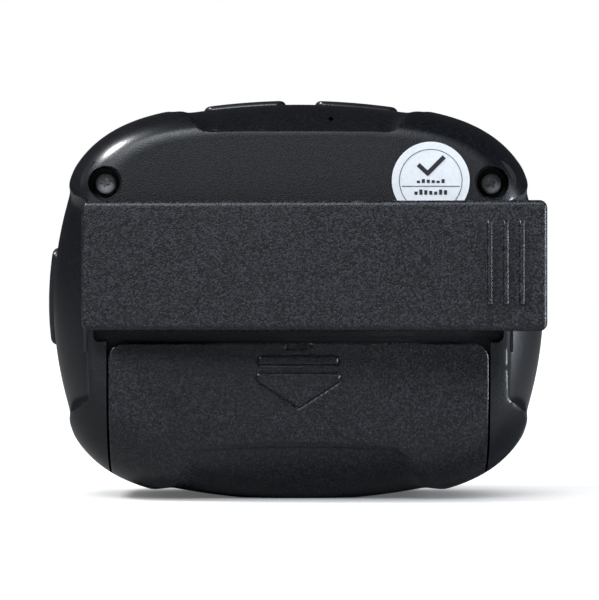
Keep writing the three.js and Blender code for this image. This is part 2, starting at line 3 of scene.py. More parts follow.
import bmesh
import bpy
import numpy as np
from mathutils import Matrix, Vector


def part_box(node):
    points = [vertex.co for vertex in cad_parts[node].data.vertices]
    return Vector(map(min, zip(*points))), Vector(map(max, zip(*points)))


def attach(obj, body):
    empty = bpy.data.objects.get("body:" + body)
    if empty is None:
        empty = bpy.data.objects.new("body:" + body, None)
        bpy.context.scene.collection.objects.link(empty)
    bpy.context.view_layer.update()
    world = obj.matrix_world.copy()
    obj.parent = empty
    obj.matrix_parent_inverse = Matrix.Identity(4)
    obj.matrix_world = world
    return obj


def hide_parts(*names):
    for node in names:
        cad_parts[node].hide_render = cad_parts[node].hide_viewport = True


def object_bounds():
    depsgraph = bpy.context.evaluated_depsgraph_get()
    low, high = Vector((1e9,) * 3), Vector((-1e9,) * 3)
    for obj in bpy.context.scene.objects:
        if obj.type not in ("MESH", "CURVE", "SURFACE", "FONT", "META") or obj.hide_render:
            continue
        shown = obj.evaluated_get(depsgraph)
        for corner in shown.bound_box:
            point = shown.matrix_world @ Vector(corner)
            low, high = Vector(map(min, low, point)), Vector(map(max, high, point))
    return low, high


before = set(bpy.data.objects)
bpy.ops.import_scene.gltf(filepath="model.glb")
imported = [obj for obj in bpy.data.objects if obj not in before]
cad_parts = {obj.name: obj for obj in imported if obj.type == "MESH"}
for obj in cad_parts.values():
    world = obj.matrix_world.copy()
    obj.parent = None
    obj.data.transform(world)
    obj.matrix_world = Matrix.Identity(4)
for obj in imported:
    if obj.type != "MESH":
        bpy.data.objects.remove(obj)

# Belt-worn speed radar, seen from behind: moulded case halves, battery door, sprung clip.
# Shapes are worked out in millimetres and scaled when their mesh is made.

mm = 0.001
cadLow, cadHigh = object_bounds()


def boxMm(node):
    low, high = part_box(node)
    return low / mm, high / mm


coverHigh = boxMm("rear_cover")[1]
frontHigh = boxMm("front_case")[1]
doorLow, doorHigh = boxMm("battery_door")
clipLow, clipHigh = boxMm("belt_clip")
stickerLow, stickerHigh = boxMm("inspection_sticker")
print("frame loaded:", len(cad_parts), "nodes")

cameraSet = {"distance": 500, "lens": 150, "aim": (-0.2, 0, 39), "near": 0.01, "far": 20}


def makeCamera(values):
    data = bpy.data.cameras.new("camera")
    data.lens = values["lens"]
    data.clip_start = values["near"]
    data.clip_end = values["far"]
    camera = bpy.data.objects.new("camera", data)
    bpy.context.scene.collection.objects.link(camera)
    aim = Vector(values["aim"]) * mm
    camera.location = aim + Vector((0, values["distance"] * mm, 0))
    camera.rotation_euler = (math.radians(90), 0, math.radians(180))
    bpy.context.scene.camera = camera


makeCamera(cameraSet)
bpy.context.scene.view_settings.view_transform = "Standard"
print("camera placed")


def newPiece(name, points, faces):
    mesh = bpy.data.meshes.new(name)
    mesh.from_pydata([tuple(p) for p in np.asarray(points) * mm], [], faces)
    mesh.validate()
    obj = bpy.data.objects.new(name, mesh)
    bpy.context.scene.collection.objects.link(obj)
    faceOut(obj)
    return obj


def faceOut(obj):
    shape = bmesh.new()
    shape.from_mesh(obj.data)
    bmesh.ops.recalc_face_normals(shape, faces=shape.faces)
    shape.to_mesh(obj.data)
    shape.free()


# A tube of quads through equal rings, with a flat cap at each end.
def loft(name, rings):
    count = len(rings[0])
    points = np.concatenate(rings)
    faces = []
    for ring in range(len(rings) - 1):
        here = ring * count
        there = here + count
        for i in range(count):
            j = (i + 1) % count
            faces.append((here + i, here + j, there + j, there + i))
    faces.append(tuple(range(count)))
    last = (len(rings) - 1) * count
    faces.append(tuple(range(last, last + count)))
    return newPiece(name, points, faces)


# A sheet with thickness, from an outer and an inner grid of points.
def sheetSolid(name, outer, inner):
    rows, columns = outer.shape[:2]
    points = np.concatenate([outer.reshape(-1, 3), inner.reshape(-1, 3)])
    inside = rows * columns
    at = lambda r, c: r * columns + c
    faces = []
    for r in range(rows - 1):
        for c in range(columns - 1):
            quad = (at(r, c), at(r, c + 1), at(r + 1, c + 1), at(r + 1, c))
            faces.append(quad)
            faces.append(tuple(inside + i for i in reversed(quad)))
    rim = [at(0, c) for c in range(columns)]
    rim += [at(r, columns - 1) for r in range(1, rows)]
    rim += [at(rows - 1, c) for c in range(columns - 2, -1, -1)]
    rim += [at(r, 0) for r in range(rows - 2, 0, -1)]
    for here, there in zip(rim, rim[1:] + rim[:1]):
        faces.append((here, there, inside + there, inside + here))
    return newPiece(name, points, faces)


def applyModifiers(obj):
    graph = bpy.context.evaluated_depsgraph_get()
    mesh = bpy.data.meshes.new_from_object(obj.evaluated_get(graph))
    obj.modifiers.clear()
    obj.data = mesh


def combine(obj, operation, *tools):
    for tool in tools:
        step = obj.modifiers.new("combine", "BOOLEAN")
        step.operation = operation
        step.solver = "MANIFOLD"
        step.object = tool
        applyModifiers(obj)
        bpy.data.objects.remove(tool)


def roundEdges(obj, width, segments=3, angle=40):
    step = obj.modifiers.new("round", "BEVEL")
    step.width = width * mm
    step.segments = segments
    step.limit_method = "ANGLE"
    step.angle_limit = math.radians(angle)
    applyModifiers(obj)


def smooth(obj, angle=30):
    obj.data.shade_smooth()
    obj.data.set_sharp_from_angle(angle=math.radians(angle))
    step = obj.modifiers.new("even shading", "WEIGHTED_NORMAL")
    step.keep_sharp = True
    step.weight = 100


def finishPiece(obj, body, material, nodes=(), angle=30):
    smooth(obj, angle)
    obj.data.materials.clear()
    obj.data.materials.append(material)
    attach(obj, body)
    if nodes:
        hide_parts(*nodes)
    return obj


def block(name, xs, ys, zs):
    corners = [(x, y, z) for x in xs for y in ys for z in zs]
    faces = [(0, 1, 3, 2), (4, 6, 7, 5), (0, 4, 5, 1), (2, 3, 7, 6), (0, 2, 6, 4), (1, 5, 7, 3)]
    return newPiece(name, corners, faces)


# Points of a rounded rectangle in X and Z at one Y.
def roundedLoop(xs, zs, radius, y, steps=8):
    points = []
    centres = [(xs[1] - radius, zs[0] + radius, -90), (xs[1] - radius, zs[1] - radius, 0)]
    centres += [(xs[0] + radius, zs[1] - radius, 90), (xs[0] + radius, zs[0] + radius, 180)]
    for x, z, start in centres:
        for i in range(steps + 1):
            angle = math.radians(start + 90 * i / steps)
            points.append((x + radius * math.cos(angle), y, z + radius * math.sin(angle)))
    return np.array(points)


# A pocket cutter with a rounded mouth: it flares by lip over the last lip of its depth.
def pocketCutter(xs, zs, radius, floorY, mouthY, lip):
    way = 1 if mouthY > floorY else -1
    rings = [roundedLoop(xs, zs, radius, floorY)]
    for i in range(5):
        turn = math.radians(90 * i / 4)
        grow = lip * (1 - math.cos(turn))
        y = mouthY - way * lip * (1 - math.sin(turn))
        wide = (xs[0] - grow, xs[1] + grow)
        tall = (zs[0] - grow, zs[1] + grow)
        rings.append(roundedLoop(wide, tall, radius + grow, y))
    rings.append(rings[-1] + np.array((0, way * 3, 0)))
    return loft("cutter", rings)


def turned(name, profile, centre, sides=64):
    rings = []
    for radius, y in profile:
        angles = np.linspace(0, 2 * math.pi, sides, endpoint=False)
        x = centre[0] + radius * np.cos(angles)
        z = centre[1] + radius * np.sin(angles)
        rings.append(np.stack([x, np.full(sides, y), z], axis=1))
    return loft(name, rings)


# The case skin is a superellipse with rounded shoulders, pads at its corners and scoops between.
gap = 0.3
caseSkin = {
    "halfWidth": coverHigh.x,
    "topZ": coverHigh.z,
    "bottomZ": -0.5,
    "rimPower": 3.4,
    "wall": 2,
}
middleZ = (caseSkin["topZ"] + caseSkin["bottomZ"]) / 2
halfHeight = (caseSkin["topZ"] - caseSkin["bottomZ"]) / 2
backY = stickerLow.y - 0.02
frontY = -backY

# Each scoop bends by one radius at the rim and another at its crease. It keeps its full depth out
# to reach and dies out at end.
topScoop = {"radius": 138, "crease": 2000, "reach": 17.5, "end": 25, "rim": 24.2, "fade": 4}
bottomScoop = {"radius": 125, "crease": -220, "reach": 18.5, "end": 31, "rim": 27, "fade": 5}
sideScoop = {"radius": 70, "crease": 900, "reach": 18, "end": 26, "rim": 24.2, "fade": 6}

# A shoulder's inset on each side of the case, and a scoop's inset where it meets the face.
rear = {
    "rimY": 6,
    "faceY": backY,
    "power": 4.2,
    "side": 10,
    "top": 7,
    "bottom": 15,
    "scoops": {"side": 8.2, "top": 6.1, "bottom": 12.2},
    "step": 0.9,
    "draft": 0.1,
    "belly": 1.8,
}
front = {
    "rimY": -8,
    "faceY": frontY,
    "power": 3.8,
    "side": 7,
    "top": 6.5,
    "bottom": 7.5,
    "scoops": {"side": 6.4, "top": 5.6, "bottom": 6.6},
    "step": 1.0,
    "draft": 0.0,
    "belly": 1.9,
}


def eased(share):
    share = np.clip(share, 0, 1)
    return share * share * (3 - 2 * share)


# A scoop's inset as a share of its whole: a small steep step under the face, then a falling belly.
def scoopShare(turn, shoulder):
    depth = np.sin(turn)
    step = shoulder["step"]
    belly = (1 - shoulder["draft"]) * np.minimum(1, depth / step) ** shoulder["belly"]
    riser = shoulder["draft"] * eased((depth - step) / max(1e-6, 1 - step))
    return belly + riser


def skinSizes(turn, shoulder, upper):
    rounded = 1 - np.cos(turn)
    inset = np.where(upper, shoulder["top"], shoulder["bottom"])
    power = caseSkin["rimPower"] + (shoulder["power"] - caseSkin["rimPower"]) * rounded
    across = caseSkin["halfWidth"] - shoulder["side"] * rounded
    along = halfHeight - inset * rounded
    return power, across, along


# How much a scoop takes off a pad whose skin stands at reach, at a place along the scoop.
def scooped(along, reach, turn, shoulder, half, scoop, depth):
    full = 1 - eased((np.abs(along) - scoop["reach"]) / (scoop["end"] - scoop["reach"]))
    share = scoopShare(turn, shoulder)
    bend = (1 - share) / scoop["radius"] + share / scoop["crease"]
    limit = half - along**2 / 2 * bend - depth * full * share
    present = eased((scoop["rim"] + scoop["fade"] / 2 - np.abs(along)) / scoop["fade"])
    return present * np.maximum(0, np.abs(reach) - limit)


def endScooped(x, reach, turn, shoulder, upper):
    depths = shoulder["scoops"]
    over = scooped(x, reach, turn, shoulder, halfHeight, topScoop, depths["top"])
    under = scooped(x, reach, turn, shoulder, halfHeight, bottomScoop, depths["bottom"])
    return np.where(upper, over, under)


def sideScooped(rise, reach, turn, shoulder):
    depth = shoulder["scoops"]["side"]
    return scooped(rise, reach, turn, shoulder, caseSkin["halfWidth"], sideScoop, depth)


# One ring of the skin: turn runs from 0 at the rim to a right angle on the flat face.
def skinRing(directions, turn, y, shoulder, inward=0):
    upper = np.sin(directions) > 0
    power, across, along = skinSizes(turn, shoulder, upper)
    cosine = np.abs(np.cos(directions)) / across
    sine = np.abs(np.sin(directions)) / along
    reach = (cosine**power + sine**power) ** (-1 / power)
    x = reach * np.cos(directions)
    rise = reach * np.sin(directions)
    endCut = endScooped(x, rise, turn, shoulder, upper)
    sideCut = sideScooped(rise, x, turn, shoulder)
    x = (x - np.sign(x) * sideCut) * (1 - inward / caseSkin["halfWidth"])
    z = middleZ + (rise - np.sign(rise) * endCut) * (1 - inward / halfHeight)
    z = np.maximum(z, inward)
    return np.stack([x, np.full_like(x, y), z], axis=1)


# How far the skin reaches up or down at x, and sideways at a rise, for a turn.
def endReach(x, turn, shoulder, upper):
    power, across, along = skinSizes(turn, shoulder, upper)
    pad = along * np.maximum(0, 1 - np.minimum(1, np.abs(x) / across) ** power) ** (1 / power)
    return pad - endScooped(x, pad, turn, shoulder, upper)


def sideReach(rise, turn, shoulder, upper):
    power, across, along = skinSizes(turn, shoulder, upper)
    pad = across * np.maximum(0, 1 - np.minimum(1, np.abs(rise) / along) ** power) ** (1 / power)
    return pad - sideScooped(rise, pad, turn, shoulder)


# The turn at which the skin passes through each x and z, found by halving.
def turnAt(x, z, shoulder):
    rise = z - middleZ
    upper = rise > 0
    low = np.zeros_like(x)
    high = np.full_like(x, math.pi / 2)
    for _ in range(30):
        middle = (low + high) / 2
        fits = np.abs(rise) <= endReach(x, middle, shoulder, upper) + 1e-9
        fits &= np.abs(x) <= sideReach(rise, middle, shoulder, upper) + 1e-9
        low = np.where(fits, middle, low)
        high = np.where(fits, high, middle)
    return low


def skinY(turn, shoulder):
    return shoulder["rimY"] + (shoulder["faceY"] - shoulder["rimY"]) * np.sin(turn)


# A case half as a shell, open at the parting plane, its parting edge slightly rounded.
def caseShell(name, shoulder, partingY, around, turns):
    directions = (np.arange(around) + 0.5) * 2 * math.pi / around
    way = 1 if shoulder["faceY"] > partingY else -1
    wall = caseSkin["wall"]
    inner = dict(shoulder, faceY=shoulder["faceY"] - way * wall)
    rings = []
    for turn in np.linspace(math.pi / 2, 0, turns // 2):
        rings.append(skinRing(directions, turn, skinY(turn, inner), shoulder, wall))
    rings.append(skinRing(directions, 0, partingY, shoulder, wall))
    for inward, out in ((0.25, 0), (0.07, 0.07), (0, 0.25)):
        rings.append(skinRing(directions, 0, partingY + way * out, shoulder, inward))
    for turn in np.linspace(0, math.pi / 2, turns):
        rings.append(skinRing(directions, turn, skinY(turn, shoulder), shoulder))
    return loft(name, rings)


def nodeTools(tree):
    def add(kind, **settings):
        node = tree.nodes.new(kind)
        for key, value in settings.items():
            if hasattr(node, key):
                setattr(node, key, value)
            else:
                node.inputs[key].default_value = value
        return node

    def link(source, target):
        tree.links.new(source, target)

    return add, link


def newGroup(name, inputs, outputs):
    tree = bpy.data.node_groups.new(name, "ShaderNodeTree")
    for label, kind, value in inputs:
        item = tree.interface.new_socket(label, in_out="INPUT", socket_type=kind)
        item.default_value = value
    for label, kind in outputs:
        tree.interface.new_socket(label, in_out="OUTPUT", socket_type=kind)
    add, link = nodeTools(tree)
    return tree, add, link, add("NodeGroupInput"), add("NodeGroupOutput")


def mapRange(add, link, source, low, high, toLow=0.0, toHigh=1.0):
    node = add("ShaderNodeMapRange")
    node.inputs["From Min"].default_value = low
    node.inputs["From Max"].default_value = high
    node.inputs["To Min"].default_value = toLow
    node.inputs["To Max"].default_value = toHigh
    link(source, node.inputs["Value"])
    return node.outputs["Result"]


def math2(add, link, operation, first, second):
    node = add("ShaderNodeMath", operation=operation)
    for socket, value in zip(node.inputs, (first, second)):
        if isinstance(value, (int, float)):
            socket.default_value = value
        else:
            link(value, socket)
    return node.outputs[0]


# Pebbled mould texture. Height feeds a bump, Sparkle varies the gloss from pebble to pebble.
def makeGrainGroup():
    tree, add, link, ins, outs = newGroup(
        "mouldGrain",
        [("Size", "NodeSocketFloat", 0.3), ("Fine", "NodeSocketFloat", 0.35)],
        [("Height", "NodeSocketFloat"), ("Sparkle", "NodeSocketFloat")],
    )
    where = add("ShaderNodeTexCoord").outputs["Object"]
    rate = math2(add, link, "DIVIDE", 1 / mm, ins.outputs["Size"])
    pebbles = add("ShaderNodeTexVoronoi", feature="SMOOTH_F1", Smoothness=0.6)
    link(where, pebbles.inputs["Vector"])
    link(rate, pebbles.inputs["Scale"])
    fine = add("ShaderNodeTexNoise", Detail=2.0, Roughness=0.6)
    link(where, fine.inputs["Vector"])
    link(math2(add, link, "MULTIPLY", rate, 1.7), fine.inputs["Scale"])
    pits = mapRange(add, link, pebbles.outputs["Distance"], 0.1, 0.75, 1, 0)
    fineShare = math2(add, link, "MULTIPLY", fine.outputs["Fac"], ins.outputs["Fine"])
    link(math2(add, link, "ADD", pits, fineShare), outs.inputs["Height"])
    tint = add("ShaderNodeTexVoronoi", feature="F1")
    link(where, tint.inputs["Vector"])
    link(rate, tint.inputs["Scale"])
    # Few pebbles are bright and most are dark.
    link(math2(add, link, "POWER", tint.outputs["Color"], 2.2), outs.inputs["Sparkle"])
    return tree


# Rubbed, slightly paler edges.
def makeWearGroup():
    tree, add, link, ins, outs = newGroup(
        "edgeWear",
        [("Start", "NodeSocketFloat", 0.54), ("End", "NodeSocketFloat", 0.62)],
        [("Mask", "NodeSocketFloat")],
    )
    edge = add("ShaderNodeMapRange")
    link(add("ShaderNodeNewGeometry").outputs["Pointiness"], edge.inputs["Value"])
    link(ins.outputs["Start"], edge.inputs["From Min"])
    link(ins.outputs["End"], edge.inputs["From Max"])
    patches = add("ShaderNodeTexNoise", Scale=220.0, Detail=3.0)
    link(add("ShaderNodeTexCoord").outputs["Object"], patches.inputs["Vector"])
    broken = mapRange(add, link, patches.outputs["Fac"], 0.35, 0.62, 0.25, 1)
    link(math2(add, link, "MULTIPLY", edge.outputs["Result"], broken), outs.inputs["Mask"])
    return tree


# Faint smears from handling, and sparse specks of dust.
def makeSmearGroup():
    tree, add, link, ins, outs = newGroup(
        "handling",
        [("Smear Size", "NodeSocketFloat", 14.0), ("Dust Size", "NodeSocketFloat", 0.9)],
        [("Smear", "NodeSocketFloat"), ("Dust", "NodeSocketFloat")],
    )
    where = add("ShaderNodeTexCoord").outputs["Object"]
    smear = add("ShaderNodeTexNoise", Detail=4.0, Roughness=0.55, Distortion=0.4)
    link(where, smear.inputs["Vector"])
    link(math2(add, link, "DIVIDE", 1 / mm, ins.outputs["Smear Size"]), smear.inputs["Scale"])
    link(mapRange(add, link, smear.outputs["Fac"], 0.3, 0.7), outs.inputs["Smear"])
    specks = add("ShaderNodeTexVoronoi", feature="F1")
    link(where, specks.inputs["Vector"])
    link(math2(add, link, "DIVIDE", 1 / mm, ins.outputs["Dust Size"]), specks.inputs["Scale"])
    close = mapRange(add, link, specks.outputs["Distance"], 0.03, 0.09, 1, 0)
    rare = math2(add, link, "GREATER_THAN", specks.outputs["Color"], 0.93)
    link(math2(add, link, "MULTIPLY", close, rare), outs.inputs["Dust"])
    return tree


grainGroup = makeGrainGroup()
wearGroup = makeWearGroup()
smearGroup = makeSmearGroup()


def newMaterial(name):
    material = bpy.data.materials.new(name)
    material.use_nodes = True
    material.node_tree.nodes.clear()
    add, link = nodeTools(material.node_tree)
    shader = add("ShaderNodeBsdfPrincipled")
    out = add("ShaderNodeOutputMaterial")
    link(shader.outputs["BSDF"], out.inputs["Surface"])
    return material, add, link, shader


def useGroup(add, tree, **values):
    node = add("ShaderNodeGroup", node_tree=tree)
    for key, value in values.items():
        node.inputs[key.replace("_", " ")].default_value = value
    return node


def mixColours(add, link, factor, first, second):
    node = add("ShaderNodeMix", data_type="RGBA")
    link(factor, node.inputs["Factor"])
    node.inputs["A"].default_value = (*first, 1)
    node.inputs["B"].default_value = (*second, 1)
    return node


# Black ABS. The mould is grained where the surface faces back or front, and eased on the shoulders.
def mouldedPlastic(name, values):
    material, add, link, shader = newMaterial(name)
    grain = useGroup(add, grainGroup, Size=values["grain"], Fine=values["fine"])
    wear = useGroup(add, wearGroup)
    hands = useGroup(add, smearGroup)
    facing = add("ShaderNodeSeparateXYZ")
    link(add("ShaderNodeTexCoord").outputs["Normal"], facing.inputs["Vector"])
    square = math2(add, link, "ABSOLUTE", facing.outputs["Y"], 0)
    grained = mapRange(add, link, square, *values["grainFrom"], values["easedGrain"], 1)

    body = mixColours(add, link, grain.outputs["Sparkle"], values["dark"], values["pale"])
    worn = add("ShaderNodeMix", data_type="RGBA")
    link(math2(add, link, "MULTIPLY", wear.outputs["Mask"], values["wear"]), worn.inputs["Factor"])
    link(body.outputs["Result"], worn.inputs["A"])
    worn.inputs["B"].default_value = (*values["rubbed"], 1)
    dusty = add("ShaderNodeMix", data_type="RGBA")
    link(math2(add, link, "MULTIPLY", hands.outputs["Dust"], values["dust"]), dusty.inputs["Factor"])
    link(worn.outputs["Result"], dusty.inputs["A"])
    dusty.inputs["B"].default_value = (*values["dustColour"], 1)
    link(dusty.outputs["Result"], shader.inputs["Base Color"])

    smoothGloss, grainGloss = values["roughness"]
    gloss = mapRange(add, link, grained, values["easedGrain"], 1, smoothGloss, grainGloss)
    glint = mapRange(add, link, grain.outputs["Sparkle"], 0, 1, -values["glint"], values["glint"])
    smears = mapRange(add, link, hands.outputs["Smear"], 0, 1, -0.03, 0.03)
    gloss = math2(add, link, "ADD", gloss, math2(add, link, "MULTIPLY", glint, grained))
    link(math2(add, link, "ADD", gloss, smears), shader.inputs["Roughness"])

    bump = add("ShaderNodeBump", Strength=values["bump"], Distance=values["height"] * mm)
    link(math2(add, link, "MULTIPLY", grain.outputs["Height"], grained), bump.inputs["Height"])
    link(bump.outputs["Normal"], shader.inputs["Normal"])
    return material


caseFinish = {
    "grain": 0.27,
    "fine": 0.4,
    "grainFrom": (0.86, 0.985),
    "easedGrain": 0.12,
    "dark": (0.0015, 0.0018, 0.0024),
    "pale": (0.009, 0.01, 0.014),
    "rubbed": (0.09, 0.09, 0.1),
    "wear": 0.25,
    "dustColour": (0.3, 0.3, 0.31),
    "dust": 0.15,
    "roughness": (0.3, 0.57),
    "glint": 0.08,
    "bump": 0.6,
    "height": 0.05,
}
doorFinish = dict(caseFinish, grain=0.32, height=0.07, pale=(0.034, 0.036, 0.047), glint=0.18)
clipFinish = dict(doorFinish, grain=0.34, grainFrom=(0.6, 0.9), easedGrain=0.4)

casePlastic = mouldedPlastic("case_plastic", caseFinish)
doorPlastic = mouldedPlastic("door_plastic", doorFinish)
clipPlastic = mouldedPlastic("clip_plastic", clipFinish)


def plainFinish(name, colour, roughness, metallic=0.0, spread=0.06, scale=900.0, bump=0.15, coat=0.0):
    material, add, link, shader = newMaterial(name)
    hands = useGroup(add, smearGroup)
    cloud = add("ShaderNodeTexNoise", Scale=scale, Detail=3.0)
    link(add("ShaderNodeTexCoord").outputs["Object"], cloud.inputs["Vector"])
    dark = tuple(c * 0.82 for c in colour)
    shade = mixColours(add, link, cloud.outputs["Fac"], dark, colour)
    link(shade.outputs["Result"], shader.inputs["Base Color"])
    shader.inputs["Metallic"].default_value = metallic
    shader.inputs["Coat Weight"].default_value = coat
    vary = mapRange(add, link, hands.outputs["Smear"], 0, 1, roughness - spread, roughness + spread)
    link(vary, shader.inputs["Roughness"])
    ripple = add("ShaderNodeBump", Strength=bump, Distance=0.02 * mm)
    link(cloud.outputs["Fac"], ripple.inputs["Height"])
    link(ripple.outputs["Normal"], shader.inputs["Normal"])
    return material


keyRubber = plainFinish("key_rubber", (0.012, 0.012, 0.014), 0.3, scale=2500.0)
bezelGloss = plainFinish("bezel_gloss", (0.006, 0.006, 0.008), 0.1, spread=0.04, bump=0.02)
radomePlastic = plainFinish("radome_plastic", (0.022, 0.023, 0.026), 0.34, scale=2500.0)
zincSteel = plainFinish("zinc_steel", (0.92, 0.92, 0.93), 0.5, metallic=0.3, scale=1800.0, bump=0.5)
springSteel = plainFinish("spring_steel", (0.4, 0.41, 0.43), 0.3, metallic=1.0)
contactNickel = plainFinish("contact_nickel", (0.62, 0.6, 0.55), 0.25, metallic=1.0)
boardLaminate = plainFinish("board_laminate", (0.012, 0.09, 0.04), 0.35, scale=300.0)
antennaLaminate = plainFinish("antenna_laminate", (0.55, 0.38, 0.16), 0.32, metallic=1.0)
whitePlastic = plainFinish("white_plastic", (0.72, 0.72, 0.7), 0.45)
switchPlastic = plainFinish("switch_plastic", (0.03, 0.03, 0.034), 0.5)
elastomer = plainFinish("elastomer", (0.03, 0.03, 0.03), 0.6)
cellJacket = plainFinish("cell_jacket", (0.02, 0.09, 0.25), 0.22, spread=0.05, bump=0.05)
leadBlack = plainFinish("lead_black", (0.01, 0.01, 0.01), 0.4)
leadRed = plainFinish("lead_red", (0.35, 0.012, 0.012), 0.4)
displayFilm = plainFinish("display_film", (0.3, 0.35, 0.25), 0.3, scale=400.0, bump=0.02)
inkBlack = plainFinish("ink_black", (0.02, 0.02, 0.024), 0.5)
stickerPaper = plainFinish("sticker_paper", (0.93, 0.94, 0.96), 0.42, scale=1200.0, bump=0.05)


def lensMaterial():
    material, add, link, shader = newMaterial("lens_clear")
    shader.inputs["Base Color"].default_value = (0.97, 0.99, 0.99, 1)
    shader.inputs["Transmission Weight"].default_value = 1.0
    shader.inputs["IOR"].default_value = 1.49
    hands = useGroup(add, smearGroup, Smear_Size=9.0)
    link(mapRange(add, link, hands.outputs["Smear"], 0, 1, 0.01, 0.06), shader.inputs["Roughness"])
    return material


lensClear = lensMaterial()
print("materials made")

doorShape = {
    "frontY": doorLow.y,
    "corner": 3.2,
    "edge": 0.35,
    "markDepth": 0.28,
    "bar": {"halfWidth": 7.6, "low": 26.6, "high": 28.0, "round": 0.5},
    "arrow": {"halfWidth": 8.0, "top": 24.8, "shoulder": 23.4, "tip": 18.3, "round": 0.35},
    "latch": {"halfWidth": 2.5, "low": 29.4, "high": 31.5, "round": 0.3},
}

partingY = frontHigh.y
trough = {
    "halfWidth": 39.5,
    "bottom": doorHigh.z + gap,
    "top": 54.2,
    "depth": 2.2,
    "radius": 1.2,
    "lip": 0.35,
}
screwHole = {"x": 37.6, "z": 61.7, "radius": 3.1, "seatY": 11, "lip": 0.45}
pinhole = {"x": -6.3, "z": 74.2, "radius": 0.45}
beltPad = {"xs": (-12, 30), "zs": (34, 52), "height": 0.4}


def makeRearCover():
    cover = caseShell("rear_cover_shell", rear, partingY + gap, 540, 34)
    troughFloor = backY - trough["depth"]
    wall = caseSkin["wall"]
    wide = trough["halfWidth"]
    backingZs = (trough["bottom"] - wall, trough["top"] + wall)
    backing = block("backing", (-wide - wall, wide + wall), (troughFloor - wall, backY - 1), backingZs)
    combine(cover, "UNION", backing)
    for side in (-1, 1):
        x, z = side * screwHole["x"], screwHole["z"]
        column = [(screwHole["radius"] + 1.5, y) for y in (partingY + 1, backY - 2.2)]
        combine(cover, "UNION", turned("boss", column, (x, z)))
        seat = screwHole["seatY"]
        radius, lip = screwHole["radius"], screwHole["lip"]
        bore = [(radius, seat), (radius, backY - 1.1), (radius + lip * 0.4, backY - 0.55)]
        bore += [(radius + lip, backY + 0.02), (radius + lip, backY + 3)]
        combine(cover, "DIFFERENCE", turned("bore", bore, (x, z)))
    across, upright = (-wide, wide), (trough["bottom"], trough["top"])
    pocket = pocketCutter(across, upright, trough["radius"], troughFloor, backY, trough["lip"])
    combine(cover, "DIFFERENCE", pocket)
    padYs = (troughFloor - 0.5, troughFloor + beltPad["height"])
    pad = block("belt pad", beltPad["xs"], padYs, beltPad["zs"])
    combine(cover, "UNION", pad)
    edge = doorHigh.x + gap
    doorFront = doorShape["frontY"] - gap
    opening = block("opening", (-edge, edge), (doorFront, backY + 1), (-5, trough["bottom"] - wall))
    rebate = block("rebate", (-edge, edge), (backY - wall - gap, backY + 1), (-4, trough["bottom"] + 1))
    combine(cover, "DIFFERENCE", opening, rebate)
    hole = [(pinhole["radius"], y) for y in (8, 25)]
    combine(cover, "DIFFERENCE", turned("pin", hole, (pinhole["x"], pinhole["z"]), 20))
    return finishPiece(cover, "case", casePlastic, ["rear_cover"])


makeRearCover()
print("rear cover made")


def roundedBoxDistance(x, z, halfWidth, low, high, radius):
    dx = np.abs(x) - halfWidth + radius
    dz = np.abs(z - (low + high) / 2) - (high - low) / 2 + radius
    return np.hypot(np.maximum(dx, 0), np.maximum(dz, 0)) + np.minimum(np.maximum(dx, dz), 0) - radius


# A wide arrowhead that points down from two short upright sides, its corners eased.
def arrowDistance(x, z, mark):
    drop = mark["shoulder"] - mark["tip"]
    slope = Vector((mark["halfWidth"], drop)).normalized()
    top = z - mark["top"]
    sides = np.abs(x) - mark["halfWidth"]
    under = sides * slope.y - (z - mark["shoulder"]) * slope.x
    ease = mark["round"]
    return ease * np.log(np.exp(top / ease) + np.exp(sides / ease) + np.exp(under / ease))


def stamped(distance, soft=0.16):
    return eased(0.5 - distance / (2 * soft))


# A fine groove that runs round a raised mark.
def groove(distance):
    return np.exp(-(((distance - 0.26) / 0.15) ** 2))


def gridNormals(points):
    down = np.gradient(points, axis=0)
    across = np.gradient(points, axis=1)
    normal = np.cross(across, down)
    length = np.linalg.norm(normal, axis=2, keepdims=True)
    normal = normal / np.maximum(length, 1e-9)
    middle = normal[5, normal.shape[1] // 2]
    return normal if middle[1] > 0 else -normal


# How far a surface drops within an edge round of the given radius.
def edgeDrop(distance, radius):
    near = np.clip(radius - distance, 0, radius)
    return radius - np.sqrt(np.maximum(0, radius**2 - near**2))


